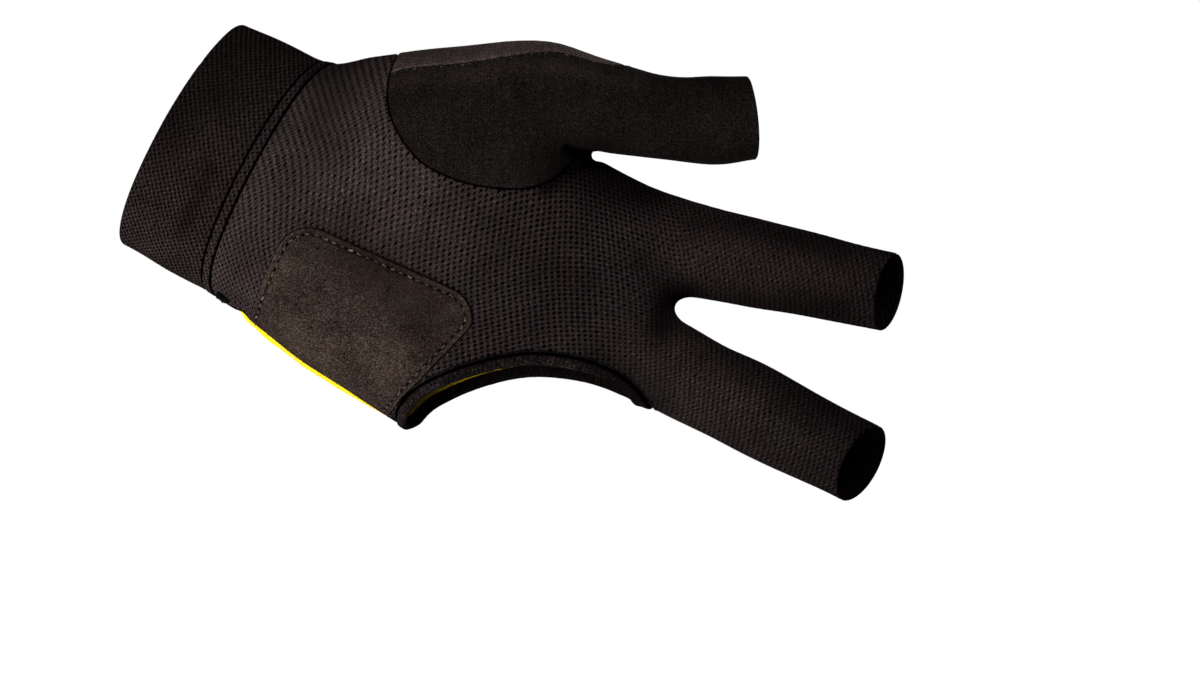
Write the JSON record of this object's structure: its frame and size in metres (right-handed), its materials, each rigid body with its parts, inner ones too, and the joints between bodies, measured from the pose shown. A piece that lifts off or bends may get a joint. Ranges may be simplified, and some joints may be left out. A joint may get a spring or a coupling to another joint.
{
  "type": "billiard glove",
  "caption": "Left-hand open-knit billiard glove with thumb, index and middle sleeves open at the tips, a knit cuff and a suede slide pad on the heel of the palm.",
  "frame": {"origin": "middle of the wrist opening, where the arm goes in", "axes": "+X along the fingers, +Z towards the thumb, the palm faces -Y"},
  "size_m": [0.1931, 0.074, 0.1135],
  "materials": {
    "open_knit": "black open knit mesh, matte with faint ribs",
    "cuff_knit": "black fine rib knit, matte",
    "seam_tape": "black brushed tape, slightly fuzzy",
    "smooth_stretch": "black smooth stretch jersey, faint sheen",
    "pale_stretch": "dark grey-brown smooth stretch jersey",
    "suede": "dark brown-grey mottled suede, matte nap",
    "yellow_stretch": "bright yellow smooth stretch jersey, faint sheen",
    "seam_thread": "black overlocked thread seam"
  },
  "bodies": {
    "root": {"mesh_body": "open_knit", "index_sleeve": "open_knit", "middle_sleeve": "open_knit", "cuff": "cuff_knit", "cuff_seam_band": "seam_tape", "thumb_sleeve": "smooth_stretch", "thumb_back_strip": "pale_stretch", "heel_patch": "suede", "back_panel": "yellow_stretch", "opening_binding": "seam_tape", "side_seam": "seam_thread"}
  },
  "joints": []
}
